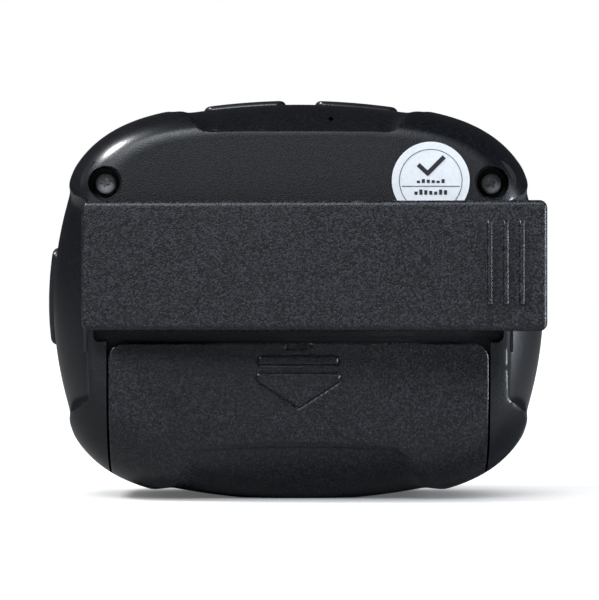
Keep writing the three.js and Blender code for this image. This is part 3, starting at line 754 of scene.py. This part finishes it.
def makeDoor():
    half = doorHigh.x
    top = doorHigh.z
    frontEdge = doorShape["frontY"]
    edgeSteps = np.array([0, 0.04, 0.12, 0.23, 0.38])
    side = np.concatenate([edgeSteps, np.linspace(0.75, half - 9, 48)[:-1]]) - half
    xs = np.concatenate([side, np.linspace(-9, 9, 151), -side[::-1]])
    flatRows = np.concatenate([edgeSteps, np.linspace(0.6, top - 17.6, 92)])
    turns = np.linspace(math.pi / 2, math.asin((frontEdge - rear["rimY"]) / (backY - rear["rimY"])), 60)
    lowest = middleZ - endReach(xs, math.pi / 2, rear, False)
    flatEnd = np.maximum(top - flatRows[-1], lowest + 0.3)
    rows = [top - drop / flatRows[-1] * (top - flatEnd) for drop in flatRows]
    rows += [flatEnd + (lowest - flatEnd) * part for part in np.linspace(0, 1, 14)[1:]]
    flatCount = len(rows)
    rows += [middleZ - endReach(xs, turn, rear, False) for turn in turns[1:]]
    z = np.array(rows)
    corner = doorShape["corner"]
    inset = corner - np.sqrt(corner**2 - np.clip(corner - (top - z), 0, corner) ** 2)
    x = xs * (half - inset) / half
    y = skinY(turnAt(x, z, rear), rear)
    y[flatCount:] = np.minimum(y[flatCount:], skinY(turns[1:], rear)[:, None])
    skin = np.stack([x, y, z], axis=2)

    normal = gridNormals(skin)
    toSide = (half - np.abs(xs)) * (half - inset) / half
    toTop = np.where(z > flatEnd, top - z, 99)
    nearest = np.minimum(np.minimum(toSide, toTop), np.maximum(0, y - frontEdge) + 0.02)
    drop = edgeDrop(nearest, doorShape["edge"])
    bar, latch = doorShape["bar"], doorShape["latch"]
    toBar = roundedBoxDistance(x, z, bar["halfWidth"], bar["low"], bar["high"], bar["round"])
    toMark = np.minimum(toBar, arrowDistance(x, z, doorShape["arrow"]))
    marks = 0.6 * groove(toMark) - stamped(toMark)
    toLatch = roundedBoxDistance(x, z, latch["halfWidth"], latch["low"], latch["high"], latch["round"])
    notch = stamped(toLatch)
    drop = drop + np.where(z > 17, marks * doorShape["markDepth"] + notch * 0.8, 0)
    outer = skin - normal * drop[..., None]
    outer[..., 2] = np.maximum(outer[..., 2], 0)
    inner = skin - normal * caseSkin["wall"]
    inner[..., 1] = np.maximum(inner[..., 1], frontEdge + 0.1)
    inner[..., 2] = np.clip(inner[..., 2], caseSkin["wall"], top)
    inner[..., 0] = np.clip(inner[..., 0], -half, half)
    door = sheetSolid("battery_door_moulding", outer, inner)
    return finishPiece(door, "door", doorPlastic, ["battery_door"])


makeDoor()
print("battery door made")

clipShape = {
    "thick": 2.4,
    "edge": 1.0,
    "corner": 1.5,
    "leftY": 24,
    "rightY": 31,
    "ribs": (-36, -39, -42),
    "ribHalf": 0.55,
    "ribHeight": 0.5,
    "ribSpan": (38.4, 53.3),
}


def clipFaceY(x):
    share = (clipHigh.x - x) / (clipHigh.x - clipLow.x)
    return clipShape["leftY"] + (clipShape["rightY"] - clipShape["leftY"]) * share


def spaced(low, high, edge, step):
    inside = np.linspace(low + edge, high - edge, max(2, int((high - low - 2 * edge) / step)))
    arc = edge * (1 - np.cos(np.linspace(0, math.pi / 2, 7)[:-1]))
    return np.concatenate([low + arc, inside, (high - arc)[::-1]])


def makeClip():
    edge = clipShape["edge"]
    xs = spaced(clipLow.x, clipHigh.x, edge, 0.7)
    ribColumns = [rib + offset for rib in clipShape["ribs"] for offset in np.linspace(-0.75, 0.75, 16)]
    xs = np.array(sorted(set(np.round(np.concatenate([xs, ribColumns]), 4))))
    zs = spaced(clipLow.z, clipHigh.z, edge, 0.4)
    x, z = np.meshgrid(xs, zs)
    middleX = (clipLow.x + clipHigh.x) / 2
    halfX = (clipHigh.x - clipLow.x) / 2
    toEnd = np.minimum(z - clipLow.z, clipHigh.z - z)
    corner = clipShape["corner"]
    inset = corner - np.sqrt(np.maximum(0, corner**2 - np.clip(corner - toEnd, 0, corner) ** 2))
    x = middleX + (x - middleX) * (halfX - inset) / halfX
    nearest = np.minimum(toEnd, halfX - inset - np.abs(x - middleX))
    ribs = np.zeros_like(x)
    for rib in clipShape["ribs"]:
        beyond = np.maximum(0, np.maximum(clipShape["ribSpan"][0] - z, z - clipShape["ribSpan"][1]))
        away = np.hypot(x - rib, beyond) / clipShape["ribHalf"]
        ribs = np.maximum(ribs, np.sqrt(np.maximum(0, 1 - away**2)))
    face = clipFaceY(x)
    outer = np.stack([x, face - edgeDrop(nearest, edge) + ribs * clipShape["ribHeight"] - 0.001, z], axis=2)
    inner = np.stack([x, face - clipShape["thick"], z], axis=2)
    plate = sheetSolid("belt_clip_moulding", outer, inner)
    return plate


# The foot that closes on the belt, and the two ears that turn on the pin.
hingeAt = {
    "x": -22,
    "y": 22.8,
    "eye": 2.6,
    "hole": 1.5,
    "ears": (-4.15, 4.15),
    "coverEars": (-7.45, 7.45),
    "width": 3,
}
clipMiddleZ = (clipLow.z + clipHigh.z) / 2


def prismAlongZ(name, outline, zs):
    rings = [np.array([(x, y, z) for x, y in outline]) for z in zs]
    return loft(name, rings)


# An ear: an eye round the pin on a root that widens towards its plate.
def makeEar(name, rootY, middle):
    way = 1 if rootY > hingeAt["y"] else -1
    eye = hingeAt["eye"]
    outline = [(hingeAt["x"] - eye * 1.25, rootY)]
    for step in range(25):
        angle = math.pi * (1 - step / 24)
        outline.append((hingeAt["x"] + eye * math.cos(angle), hingeAt["y"] - way * eye * math.sin(angle)))
    outline.append((hingeAt["x"] + eye * 1.25, rootY))
    half = hingeAt["width"] / 2
    ear = prismAlongZ(name, outline, (middle - half, middle + half))
    hole = []
    for angle in np.linspace(0, 2 * math.pi, 32, endpoint=False):
        x = hingeAt["x"] + hingeAt["hole"] * math.cos(angle)
        hole.append((x, hingeAt["y"] + hingeAt["hole"] * math.sin(angle)))
    combine(ear, "DIFFERENCE", prismAlongZ("hole", hole, (middle - half - 1, middle + half + 1)))
    roundEdges(ear, 0.2, 2, 50)
    return ear


def finishClip(plate):
    innerY = lambda x: clipFaceY(x) - clipShape["thick"]
    footLow = clipLow.y
    outline = [(33.4, innerY(33.4) + 0.5), (33.8, innerY(33.8) - 0.2)]
    outline += [(35.2, footLow + 0.4), (35.6, footLow), (38.2, footLow), (38.6, footLow + 0.4)]
    outline += [(39.4, innerY(39.4) - 0.2), (39.6, innerY(39.6) + 0.5)]
    foot = prismAlongZ("foot", outline, (clipLow.z + 0.6, trough["top"] - 0.8))
    earRoot = innerY(hingeAt["x"]) + 0.5
    ears = [makeEar("ear", earRoot, clipMiddleZ + offset) for offset in hingeAt["ears"]]
    combine(plate, "UNION", foot, *ears)
    return finishPiece(plate, "clip", clipPlastic, ["belt_clip"])


finishClip(makeClip())
for place, offset in zip(("lower", "upper"), hingeAt["coverEars"]):
    coverEar = makeEar("hinge_ear_" + place, backY - trough["depth"] - 0.5, clipMiddleZ + offset)
    finishPiece(coverEar, "case", casePlastic)
print("belt clip made")

keyShape = {"edge": 1.1, "rise": 0.25, "inset": 1, "proud": 0.4, "sideProud": -0.02}


# A cap whose crown follows the case. Along runs down its length and out gives its crown.
def makeCap(name, alongSpan, acrossSpan, crown, base, place):
    along = spaced(*alongSpan, keyShape["edge"], 0.5)
    across = spaced(*acrossSpan, keyShape["edge"], 0.3)
    u, v = np.meshgrid(along, across)
    middleU, halfU = sum(alongSpan) / 2, (alongSpan[1] - alongSpan[0]) / 2
    middleV, halfV = sum(acrossSpan) / 2, (acrossSpan[1] - acrossSpan[0]) / 2
    corner = halfV * 0.75
    toEnd = halfV - np.abs(v - middleV)
    inset = corner - np.sqrt(np.maximum(0, corner**2 - np.clip(corner - toEnd, 0, corner) ** 2))
    u = middleU + (u - middleU) * (halfU - inset) / halfU
    nearest = np.minimum(toEnd, halfU - inset - np.abs(u - middleU))
    dish = keyShape["rise"] * ((v - middleV) / halfV) ** 2
    top = crown(u) - edgeDrop(nearest, keyShape["edge"]) - dish * 0.4
    outer = place(u, v, top)
    inner = place(u, v, np.full_like(u, base))
    return sheetSolid(name, outer, inner)


def makeButtons():
    inset = keyShape["inset"]
    for name, body in (("left_top_button", "left_key"), ("right_top_button", "right_key")):
        low, high = boxMm(name)
        crown = lambda x: cadHigh.z / mm + keyShape["proud"] - x**2 / (2 * topScoop["radius"])
        place = lambda u, v, h: np.stack([u, v, h], axis=2)
        along = (low.x + inset, high.x - inset)
        across = (low.y + inset, high.y - inset)
        cap = makeCap(name + "_cap", along, across, crown, low.z + 0.6, place)
        finishPiece(cap, body, keyRubber, [name])
    low, high = boxMm("side_button")
    crown = lambda z: high.x + keyShape["sideProud"] - (z - middleZ) ** 2 / (2 * sideScoop["radius"])
    place = lambda u, v, h: np.stack([h, v, u], axis=2)
    along = (low.z + inset, high.z - inset)
    across = (low.y + inset, high.y - inset)
    cap = makeCap("side_button_cap", along, across, crown, low.x + 0.5, place)
    finishPiece(cap, "side_key", keyRubber, ["side_button"])


makeButtons()
print("buttons made")

# Each cross level is a height from the top of the head, a reach and a half width.
screwShape = {
    "head": 2.0,
    "shank": 1.0,
    "under": 11.3,
    "height": 1.5,
    "length": 13,
    "crossLevels": ((-1.05, 0.35, 0.16), (-0.4, 0.95, 0.27), (0.4, 1.5, 0.4)),
}


# A pan head with a tapered cross, on a plain shank.
def makeScrew(name, x, z, turn):
    radius, under, height = screwShape["head"], screwShape["under"], screwShape["height"]
    profile = [(screwShape["shank"], under - screwShape["length"]), (screwShape["shank"], under)]
    profile += [(radius * 0.94, under), (radius, under + 0.1), (radius, under + height * 0.45)]
    for step in range(1, 9):
        angle = math.radians(90 * step / 9)
        profile.append((radius * math.cos(angle), under + height * (0.45 + 0.55 * math.sin(angle))))
    head = turned(name + "_turned", profile, (x, z), 72)
    top = under + height
    for quarter in (0, 90):
        angle = math.radians(turn + quarter)
        along = Vector((math.cos(angle), math.sin(angle)))
        across = Vector((-along.y, along.x))
        rings = []
        for rise, reach, half in screwShape["crossLevels"]:
            corners = [along * reach + across * half, across * half - along * reach]
            corners += [-along * reach - across * half, along * reach - across * half]
            rings.append(np.array([(x + c.x, top + rise, z + c.y) for c in corners]))
        combine(head, "DIFFERENCE", loft("cross", rings))
    return finishPiece(head, "case", zincSteel, [name], 35)


makeScrew("upper_left_screw", screwHole["x"], screwHole["z"], 12)
makeScrew("upper_right_screw", -screwHole["x"], screwHole["z"], 57)
print("screws made")

# The inspection sticker has a plain tick, a rule and bars inside a ring.
stickerArt = {
    "ring": (5.98, 6.1),
    "tick": [(-2.2, 2.9), (-0.6, 1.4), (2.4, 4.4)],
    "tickWidth": 0.85,
    "rule": (-5.6, 5.6, -1.15, -1.0),
    "bars": [(-0.45, 0.0, 0.75, 6), (-2.7, -3.9, 1.0, 7)],
    "proud": 0.03,
}


def flatPrism(outline, yLow, yHigh, centre):
    rings = [np.array([(centre[0] - u, y, centre[1] + v) for u, v in outline]) for y in (yLow, yHigh)]
    return loft("ink", rings)


def makeSticker():
    centre = ((stickerLow.x + stickerHigh.x) / 2, (stickerLow.z + stickerHigh.z) / 2)
    radius = (stickerHigh.x - stickerLow.x) / 2
    low, high = stickerLow.y, stickerHigh.y - 0.03
    rim = [(radius, low), (radius, high - 0.02), (radius - 0.03, high)]
    disc = turned("sticker_disc", rim, centre, 128)
    finishPiece(disc, "case", stickerPaper, ["inspection_sticker"])
    top = high + stickerArt["proud"]
    inner, outer = stickerArt["ring"]
    ring = turned("sticker_print", [(outer, high - 0.01), (outer, top)], centre, 128)
    combine(ring, "DIFFERENCE", turned("inner", [(inner, high - 1), (inner, top + 1)], centre, 128))
    parts = []
    for start, end in zip(stickerArt["tick"], stickerArt["tick"][1:]):
        way = (Vector(end) - Vector(start)).normalized()
        side = Vector((-way.y, way.x)) * stickerArt["tickWidth"] / 2
        first, last = Vector(start) - way * 0.3, Vector(end) + way * 0.3
        corners = [first + side, last + side, last - side, first - side]
        parts.append(flatPrism(corners, high - 0.01, top, centre))
    x0, x1, z0, z1 = stickerArt["rule"]
    parts.append(flatPrism([(x0, z0), (x1, z0), (x1, z1), (x0, z1)], high - 0.01, top, centre))
    for z0, start, height, count in stickerArt["bars"]:
        for step in range(count):
            u = (step - (count - 1) / 2) * 0.95
            tall = height * (0.6 + 0.4 * ((step * 3) % 4) / 3)
            corners = [(u - 0.3, z0), (u + 0.3, z0), (u + 0.3, z0 + tall), (u - 0.3, z0 + tall)]
            parts.append(flatPrism(corners, high - 0.01, top, centre))
    combine(ring, "UNION", *parts)
    finishPiece(ring, "case", inkBlack)


makeSticker()
print("sticker made")

lens = {"low": boxMm("display_lens")[0], "high": boxMm("display_lens")[1], "radius": 2}
bezel = {"low": boxMm("display_bezel")[0], "high": boxMm("display_bezel")[1], "radius": 5}
radome = {"low": boxMm("radome_window")[0], "high": boxMm("radome_window")[1]}
seatY = frontY + 1.4


def ellipseRing(centre, halfX, halfZ, y, count=96):
    angles = np.linspace(0, 2 * math.pi, count, endpoint=False)
    x = centre[0] + halfX * np.cos(angles)
    z = centre[1] + halfZ * np.sin(angles)
    return np.stack([x, np.full(count, y), z], axis=1)


def makeFrontCase():
    case = caseShell("front_case_shell", front, partingY, 480, 30)
    low, high = bezel["low"], bezel["high"]
    across, upright = (low.x - gap, high.x + gap), (low.z - gap, high.z + gap)
    seat = pocketCutter(across, upright, bezel["radius"], seatY, frontY, 0.3)
    combine(case, "DIFFERENCE", seat)
    low, high = lens["low"], lens["high"]
    across, upright = (low.x + 1.5, high.x - 1.5), (low.z + 1.5, high.z - 1.5)
    window = block("window", across, (frontY - 1, frontY + 4), upright)
    combine(case, "DIFFERENCE", window)
    low, high = radome["low"], radome["high"]
    centre = (0, (low.z + high.z) / 2)
    halfX, halfZ = high.x, (high.z - low.z) / 2
    rings = [ellipseRing(centre, halfX + gap, halfZ + gap, seatY)]
    rings.append(ellipseRing(centre, halfX + gap, halfZ + gap, frontY + 0.35))
    rings.append(ellipseRing(centre, halfX + gap + 0.1, halfZ + gap + 0.1, frontY + 0.12))
    rings.append(ellipseRing(centre, halfX + gap + 0.3, halfZ + gap + 0.3, frontY - 0.01))
    rings.append(ellipseRing(centre, halfX + gap + 0.3, halfZ + gap + 0.3, frontY - 3))
    combine(case, "DIFFERENCE", loft("radome seat", rings))
    room = keyShape["inset"] - gap
    for name in ("left_top_button", "right_top_button"):
        low, high = boxMm(name)
        slot = block("slot", (low.x + room, high.x - room), (low.y + room, high.y - room), (70, 85))
        roundEdges(slot, 2.2, 5, 80)
        combine(case, "DIFFERENCE", slot)
    low, high = boxMm("side_button")
    slot = block("slot", (42, 60), (low.y + room, high.y - room), (low.z + room, high.z - room))
    roundEdges(slot, 2.2, 5, 80)
    combine(case, "DIFFERENCE", slot)
    return finishPiece(case, "case", casePlastic, ["front_case"])


makeFrontCase()
print("front case made")


# The floor is dimmer as a bounce than the camera sees it. Its camera-seen glow is dimmed by ambient
# occlusion near the object, a painted contact shadow.
floorLook = {"side": 3, "bounce": (0.24,) * 3, "seen": (0.34,) * 3, "cover": 25, "paintedShadowGlow": (0.1, 0.85)}


def makeStage():
    side = floorLook["side"]
    mesh = bpy.data.meshes.new("floor")
    corners = [(-side, -side, 0), (side, -side, 0), (side, side, 0), (-side, side, 0)]
    mesh.from_pydata(corners, [], [(0, 1, 2, 3)])
    floor = bpy.data.objects.new("floor", mesh)
    bpy.context.scene.collection.objects.link(floor)
    material, add, link, shader = newMaterial("pale_floor")
    shader.inputs["Roughness"].default_value = 0.9
    seen = add("ShaderNodeLightPath").outputs["Is Camera Ray"]
    shade = mixColours(add, link, seen, floorLook["bounce"], floorLook["seen"])
    link(shade.outputs["Result"], shader.inputs["Base Color"])
    shader.inputs["Emission Color"].default_value = (1, 1, 1, 1)
    # Ambient occlusion dims the floor's glow around and under the object: painted contact shadow.
    paintedShadowOcclusion = add("ShaderNodeAmbientOcclusion", samples=8)
    paintedShadowOcclusion.inputs["Distance"].default_value = floorLook["cover"] * mm
    paintedShadowStrength = mapRange(add, link, paintedShadowOcclusion.outputs["AO"], *floorLook["paintedShadowGlow"], *floorLook["paintedShadowGlow"])
    link(math2(add, link, "MULTIPLY", seen, paintedShadowStrength), shader.inputs["Emission Strength"])
    floor.data.materials.append(material)


# The world is white where the camera sees it. As light it is white behind the object, dim before it.
def makeWorld(seen, behind, before):
    world = bpy.data.worlds.new("studio")
    bpy.context.scene.world = world
    world.use_nodes = True
    tree = world.node_tree
    tree.nodes.clear()
    add, link = nodeTools(tree)
    out = add("ShaderNodeOutputWorld")
    bright = add("ShaderNodeBackground", Color=(1, 1, 1, 1), Strength=seen)
    soft = add("ShaderNodeBackground", Color=(0.94, 0.97, 1, 1))
    way = add("ShaderNodeSeparateXYZ")
    link(add("ShaderNodeTexCoord").outputs["Generated"], way.inputs["Vector"])
    link(mapRange(add, link, way.outputs["Y"], -0.45, 0.35, behind, before), soft.inputs["Strength"])
    mix = add("ShaderNodeMixShader")
    link(add("ShaderNodeLightPath").outputs["Is Camera Ray"], mix.inputs[0])
    link(soft.outputs[0], mix.inputs[1])
    link(bright.outputs[0], mix.inputs[2])
    link(mix.outputs[0], out.inputs["Surface"])


def makeSun(name, towards, power, angle, colour=(1, 1, 1)):
    data = bpy.data.lights.new(name, "SUN")
    data.energy = power
    data.angle = math.radians(angle)
    data.color = colour
    light = bpy.data.objects.new(name, data)
    bpy.context.scene.collection.objects.link(light)
    light.rotation_euler = Vector(towards).to_track_quat("Z", "Y").to_euler()


def makeSoftbox(name, place, aim, size, power, colour=(1, 1, 1)):
    data = bpy.data.lights.new(name, "AREA")
    data.shape = "RECTANGLE"
    data.size, data.size_y = size
    data.energy = power
    data.color = colour
    light = bpy.data.objects.new(name, data)
    bpy.context.scene.collection.objects.link(light)
    light.location = place
    light.rotation_euler = (Vector(aim) - Vector(place)).to_track_quat("-Z", "Y").to_euler()


makeStage()
makeWorld(1.0, 0.04, 0.006)
makeSun("key", (0.66, 0.14, 0.8), 4.6, 12, (0.95, 0.98, 1))
makeSoftbox("side", (-0.27, 0.085, 0.03), (0, 0.02, 0.02), (0.06, 0.16), 1.0, (0.82, 0.9, 1))
makeSoftbox("fill", (0.35, 0.4, 0.35), (0, 0.02, 0.05), (0.2, 0.2), 0.2, (0.8, 0.9, 1))
makeSoftbox("front", (0.12, 0.42, 0.42), (0, 0.02, 0.04), (0.2, 0.2), 2.1, (0.86, 0.92, 1))
print("stage and lights made")

for name, material in (
    ("clip_hinge_pin", zincSteel), ("clip_torsion_spring", springSteel),
    ("upper_left_screw", zincSteel), ("upper_right_screw", zincSteel),
    ("lower_left_screw", zincSteel), ("lower_right_screw", zincSteel),
    ("display_bezel", bezelGloss), ("display_lens", lensClear), ("radome_window", radomePlastic),
    ("main_board", boardLaminate), ("antenna_board", antennaLaminate), ("rf_shield", contactNickel),
    ("display_frame", whitePlastic), ("display_glass", displayFilm), ("display_backlight", whitePlastic),
    ("display_connector", elastomer), ("buzzer", switchPlastic), ("lower_cell", cellJacket),
    ("upper_cell", cellJacket), ("cell_link_contact", contactNickel), ("negative_contact", contactNickel),
    ("positive_contact", contactNickel), ("negative_lead", leadBlack), ("positive_lead", leadRed),
    ("left_top_switch", switchPlastic), ("right_top_switch", switchPlastic), ("side_switch", switchPlastic),
    ("inspection_sticker", stickerPaper),
):
    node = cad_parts[name]
    node.data.materials.clear()
    node.data.materials.append(material)
